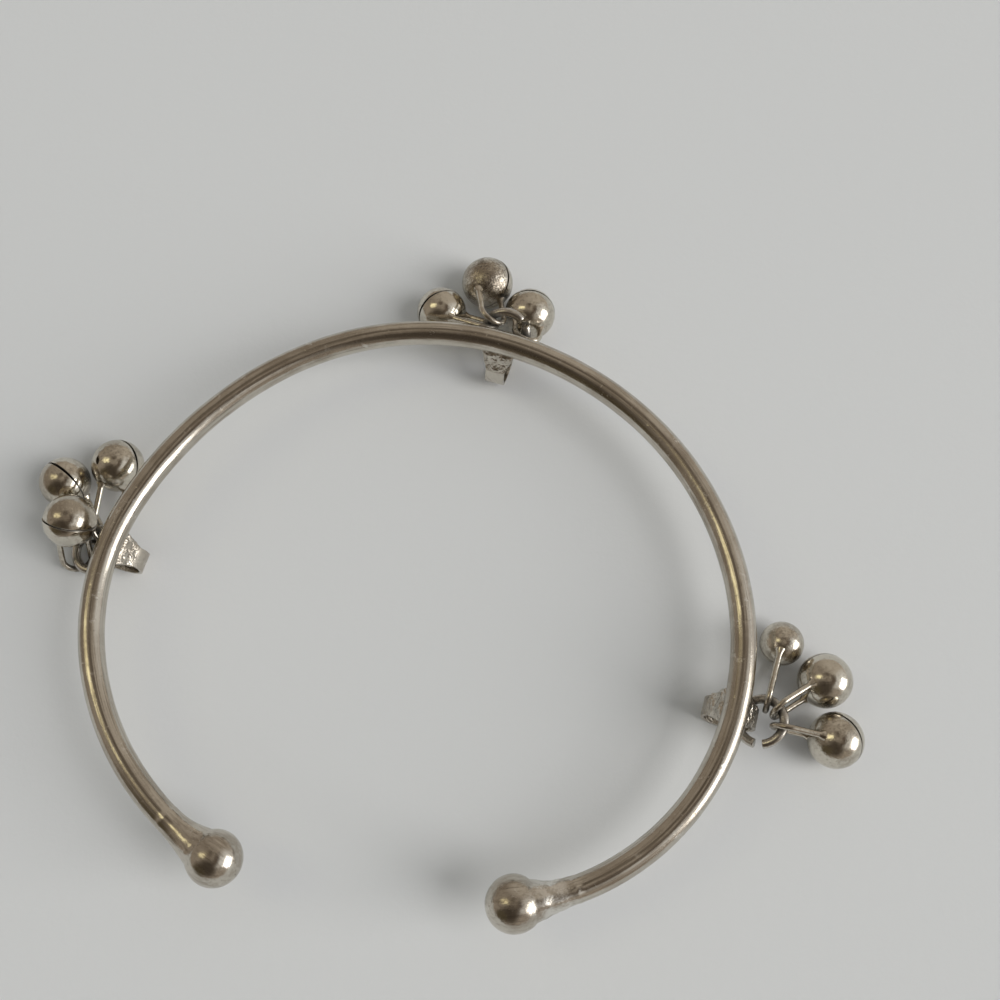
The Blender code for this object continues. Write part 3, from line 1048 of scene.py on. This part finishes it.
def loop_of_bell(name, hook, centre, aim, normal, radius):
    """A U of wire with flared, soldered roots in the bell's shell."""
    made = bell_sizes()
    bend = (made.loop - made.loop_wire) / 2
    side = aim.cross(normal).normalized()
    root = (centre - hook).length - sqrt((radius - made.loop_root) ** 2 - bend ** 2)
    feet = hook + side * bend + aim * root, hook - side * bend + aim * root
    shank = aim * (root - LOOP_FOOT[-1].height)
    piece = start_ring(name, feet[0], -aim, made.loop_wire / 2 * LOOP_FOOT[0].width, LOOP_SIDES)
    close_ring()
    pick_rim()
    draw_foot(LOOP_FOOT, feet[0], -aim)
    push_on(-shank)
    sweep_on(LOOP_STEPS, -pi, hook, normal)
    push_on(shank)
    draw_foot(LOOP_FOOT[::-1], feet[1], -aim)
    close_ring()
    tidy_normals()
    dent(piece, "wire waves", 1.5 * MM, 0.05 * MM)
    store_all(piece, "wear", 0.15)
    smooth(piece, 60)
    return piece


def pierce(shell, centre, radius):
    """Cut a small oval hole through the shell."""
    rest_hands()
    spot = centre + HOLE_DIRECTION.normalized() * radius
    bpy.ops.mesh.primitive_uv_sphere_add(segments=24, ring_count=16, radius=HOLE_SIZE,
                                         location=spot)
    punch = bpy.context.object
    bpy.ops.transform.resize(value=HOLE_SHAPE)
    settle()
    rest_hands()
    apply_modifier(shell, "BOOLEAN", object=punch, operation="DIFFERENCE", solver="EXACT")
    bpy.data.objects.remove(punch)


def shell_of_bell(pattern, name, cluster, bell):
    """A copy of the thin ball in its place, dented, thickened and black in its seam and inside."""
    place, centre = cluster_place(cluster), bell_centre(cluster, bell)
    radius = bell.diameter * bell_sizes().bell / 2
    around, tilt = radians(bell.seam_bearing), radians(bell.seam_tilt)
    level = place.outward * cos(around) + place.along * sin(around)
    pole = level * sin(tilt) + UP * cos(tilt)
    start = UP * sin(tilt) - level * cos(tilt)
    start = Matrix.Rotation(radians(bell.slot), 3, pole) @ start
    matrix = frame_matrix(start, pole.cross(start), pole, centre)
    shell = place_copy(pattern, name, matrix @ Matrix.Scale(bell.diameter * SNUG, 4))
    dent(shell, "bell dents", 3.0 * MM, (0.05 + 0.05 * bell.wear) * MM)
    apply_modifier(shell, "SOLIDIFY", thickness=bell_sizes().wall, offset=-1.0,
                   use_even_offset=False)
    if name == PIERCED_BELL:
        pierce(shell, centre, radius)
    store_all(shell, "wear", bell.wear)
    # The inside of the shell is made black, and the seam darker towards its middle line
    blackened = []
    for vertex in shell.data.vertices:
        off = vertex.co - centre
        seam = SEAM_SOOT * max(0.0, 1.0 - abs(off.dot(pole)) / SEAM_SPREAD)
        blackened.append(1.0 if off.length < radius - INSIDE else seam)
    store(shell, "grime", "FLOAT", blackened)
    smooth(shell, 50)
    return shell


class BRACELET_OT_bells(bpy.types.Operator):
    """Model one thin ball with an open seam, copy it for each bell and add the loops"""

    bl_idname = "bracelet.bells"
    bl_label = "Bells"

    def execute(self, context):
        pattern = bell_pattern()
        finish = Silver("bell_silver_shell", finish_of().bell_colour, pits=0.05, rough=0.12,
                        film=0.55, scratch=0.7)
        for key, cluster in CLUSTERS.items():
            for number, bell in enumerate(BELLS[key], start=1):
                node = "bell_%s_%d" % (key, number)
                name = "silver_" + node
                shell = shell_of_bell(pattern, name, cluster, bell)
                hook, aim, normal = bell_hook(cluster, bell)
                loop = loop_of_bell(name + "_loop", hook, bell_centre(cluster, bell), aim,
                                    normal, bell.diameter * bell_sizes().bell / 2)
                hand_over(join([shell, loop]), finish, [node])
        bpy.data.objects.remove(pattern)
        return {"FINISHED"}


# Tarnish and painted shade in the corners

def box_round(piece, margin):
    """The lowest and highest place of a piece on each axis, with a margin."""
    corners = [Vector(corner) for corner in piece.bound_box]
    return [(min(corner[a] for corner in corners) - margin,
             max(corner[a] for corner in corners) + margin) for a in range(3)]


def nearest_metal(point, others, trees, boxes):
    """How far the nearest of the others is from a point, within the reach of the tarnish and
    painted shade.
    """
    near = TARNISH_AND_SHADE_REACH
    for name in others:
        if all(low < point[a] < high for a, (low, high) in enumerate(boxes[name])):
            distance = trees[name].find_nearest(point, near)[3]
            if distance is not None:
                near = min(near, distance)
    return near


class BRACELET_OT_tarnish_and_shade(bpy.types.Operator):
    """Blacken the silver where pieces lie close together, as tarnish and as painted shade"""

    # Painted shade: this step also stands in for the shade in the corners between pieces, besides
    # their tarnish
    bl_idname = "bracelet.tarnish"
    bl_label = "Tarnish in corners"

    def execute(self, context):
        pieces = [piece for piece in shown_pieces() if piece.type == "MESH"]
        graph = context.evaluated_depsgraph_get()
        trees = {piece.name: BVHTree.FromObject(piece, graph) for piece in pieces}
        boxes = {piece.name: box_round(piece, TARNISH_AND_SHADE_REACH) for piece in pieces}
        for piece in pieces:
            kept = piece.data.attributes.get("grime")
            before = [item.value for item in kept.data] if kept \
                else [0.0] * len(piece.data.vertices)
            soldered = piece.name.startswith(SOLDERED)
            others = [name for name in trees
                      if name != piece.name and not (soldered and name.startswith(SOLDERED))]
            values = []
            # Darker the nearer another piece is: tarnish and painted shade
            for vertex, old in zip(piece.data.vertices, before):
                near = nearest_metal(vertex.co, others, trees, boxes)
                values.append(max(old, TARNISH_AND_SHADE_DEPTH * (1.0 - near / TARNISH_AND_SHADE_REACH)))
            store(piece, "grime", "FLOAT", values)
        return {"FINISHED"}


# Stage

PAPER_FIBRE = Pattern(900.0, 5.0, 0.7)
PAPER_MOTTLE = Pattern(14.0, 3.0, 0.5)
PAPER_SHADE = (0.74, 0.76, 0.75)
FLOOR_SIZE, FLOOR_HEIGHT = 6.0, -0.02 * MM

# The room that the silver mirrors: glows and dark parts by their direction and, in degrees,
# how far they fade out and how far they are full, over one brown. The floor gets a plain sky.
Glow = namedtuple("Glow", "azimuth elevation wide narrow shade")
ROOM_BROWN = (0.30, 0.255, 0.208)
ROOM = (
    Glow(45, 20, 75, 20, (0.46, 0.41, 0.35)),
    Glow(-18, 22, 55, 20, (0.75, 0.74, 0.72)),
    Glow(-60, 15, 35, 12, (0.36, 0.31, 0.26)),
    Glow(100, 74, 14, 4, (0.13, 0.105, 0.080)),
    Glow(10, 67, 13, 4, (0.15, 0.120, 0.092)),
    Glow(-14, 66, 13, 4, (0.12, 0.092, 0.070)),
    Glow(-38, 64, 13, 4, (0.12, 0.092, 0.070)),
    Glow(-60, 63, 13, 4, (0.14, 0.110, 0.085)),
    Glow(-112, 42, 46, 16, (0.070, 0.055, 0.041)),
    Glow(-138, 18, 28, 10, (0.09, 0.072, 0.045)),
)
PLAIN_SKY = (0.275, 0.282, 0.287)

# Area lights: the setting that gives the power, the direction, the size and the colour.
Light = namedtuple("Light", "name power azimuth elevation width height shade mirrored")
LIGHTS = (
    Light("window", "window_power", -15, 19, 2.3, 2.0, (1.0, 0.99, 0.98), True),
    Light("warm_lamp", "lamp_power", 168, 53, 0.90, 1.9, (1.0, 0.92, 0.56), True),
    Light("sky", "sky_power", -22, 46, 2.0, 2.0, (1.0, 1.0, 1.0), False),
)
LIGHT_DISTANCE = 4.0

CAMERA_AIM = Vector((11.84 * MM, -18.30 * MM, 6.68 * MM))  # from the middle of the wire's back
CAMERA_LENS, CAMERA_SENSOR = 46.8, 36.0
CAMERA_CLIP = (1.0 * MM, 10.0)


def direction(azimuth, elevation):
    """The way at an azimuth from the right, towards the back, and an elevation."""
    turn, rise = radians(azimuth), radians(elevation)
    return Vector((cos(turn) * cos(rise), sin(turn) * cos(rise), sin(rise)))


def paper(look):
    made = Finish("pale_paper")
    place = made.place()
    fibre = made.noise(place, PAPER_FIBRE)
    mottle = made.noise(place, PAPER_MOTTLE)
    return made.surface({
        "Base Color": made.blend(mottle * 0.10, opaque(look.paper), opaque(PAPER_SHADE)),
        "Roughness": 0.80 + fibre * 0.1, "Specular IOR Level": 0.08,
        "Normal": made.bump(fibre, 0.3, 0.1 * MM)})


def room_light(scene):
    """A neutral sky for the floor, and a brown room with dark parts for the silver."""
    world = bpy.data.worlds.new("room")
    world.use_nodes = True
    scene.world = world
    made = Nodes(world.node_tree)
    way = made.node("ShaderNodeTexCoord", output="Generated")
    shade = opaque(ROOM_BROWN)
    for glow in ROOM:
        facing = made.node("ShaderNodeVectorMath", {"operation": "DOT_PRODUCT"},
                           {0: way, 1: direction(glow.azimuth, glow.elevation)}, output="Value")
        mask = made.between(facing, cos(radians(glow.wide)), cos(radians(glow.narrow)))
        shade = made.blend(mask, shade, opaque(glow.shade))
    in_silver = made.node("ShaderNodeLightPath", output="Is Glossy Ray")
    shade = made.blend(in_silver, opaque(PLAIN_SKY), shade)
    sky = made.node("ShaderNodeBackground", None, {"Color": shade, "Strength": 1.0})
    made.node("ShaderNodeOutputWorld", None, {"Surface": sky})


def area_light(kind, power):
    """A soft rectangular light that faces the origin."""
    rest_hands()
    away = direction(kind.azimuth, kind.elevation)
    bpy.ops.object.light_add(type="AREA", location=away * LIGHT_DISTANCE,
                             rotation=away.to_track_quat("Z", "Y").to_euler())
    light = bpy.context.object
    light.name = light.data.name = kind.name
    light.data.shape = "RECTANGLE"
    light.data.size = kind.width
    light.data.size_y = kind.height
    light.data.energy = power
    light.data.color = kind.shade
    light.visible_glossy = kind.mirrored


class BRACELET_OT_stage(bpy.types.Operator):
    """Lay the pale floor, light it softly and set the camera over the cuff"""

    bl_idname = "bracelet.stage"
    bl_label = "Stage"

    def execute(self, context):
        look = context.scene.stage_look
        rest_hands()
        bpy.ops.mesh.primitive_plane_add(size=FLOOR_SIZE, location=(0, 0, FLOOR_HEIGHT))
        floor = context.object
        floor.name = "floor"
        floor.data.materials.append(paper(look))
        floor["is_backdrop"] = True
        room_light(context.scene)
        context.scene.view_settings.view_transform = "Standard"
        for kind in LIGHTS:
            area_light(kind, getattr(look, kind.power))
        tilt = look.camera_tilt
        back = Vector((0, -sin(tilt), cos(tilt))) * look.camera_distance
        bpy.ops.object.camera_add(location=shift() + CAMERA_AIM + back, rotation=(tilt, 0, 0))
        camera = context.object
        camera.data.lens = CAMERA_LENS
        camera.data.sensor_width = CAMERA_SENSOR
        camera.data.clip_start, camera.data.clip_end = CAMERA_CLIP
        context.scene.camera = camera
        return {"FINISHED"}


class BRACELET_PT_pieces(bpy.types.Panel):
    """The pieces of the bracelet, in the order in which they are made"""

    bl_idname = "BRACELET_PT_pieces"
    bl_label = "Cuff bracelet"
    bl_space_type = "VIEW_3D"
    bl_region_type = "UI"
    bl_category = "Bracelet"

    def draw(self, context):
        for step in STEPS:
            self.layout.operator(step.bl_idname)
        for group in GROUPS:
            box = self.layout.box()
            settings = getattr(context.scene, group)
            for name in settings.bl_rna.properties.keys():
                if name not in ("rna_type", "name"):
                    box.prop(settings, name)


STEPS = (BRACELET_OT_wire, BRACELET_OT_flat_rings, BRACELET_OT_solder, BRACELET_OT_jump_rings,
         BRACELET_OT_bells, BRACELET_OT_tarnish_and_shade, BRACELET_OT_stage)
GROUPS = {"cuff_sizes": CuffSizes, "bell_sizes": BellSizes, "silver_finish": SilverFinish,
          "stage_look": StageLook}


def register():
    for kind in (*GROUPS.values(), *STEPS, BRACELET_PT_pieces):
        bpy.utils.register_class(kind)
    for name, kind in GROUPS.items():
        setattr(bpy.types.Scene, name, PointerProperty(type=kind))


def unregister():
    for name in GROUPS:
        delattr(bpy.types.Scene, name)
    for kind in (BRACELET_PT_pieces, *reversed(STEPS), *reversed(list(GROUPS.values()))):
        bpy.utils.unregister_class(kind)


def main():
    register()
    bpy.ops.bracelet.wire()
    bpy.ops.bracelet.flat_rings()
    bpy.ops.bracelet.solder()
    bpy.ops.bracelet.jump_rings()
    bpy.ops.bracelet.bells()
    bpy.ops.bracelet.tarnish()
    bpy.ops.bracelet.stage()


if __name__ == "__main__":
    main()
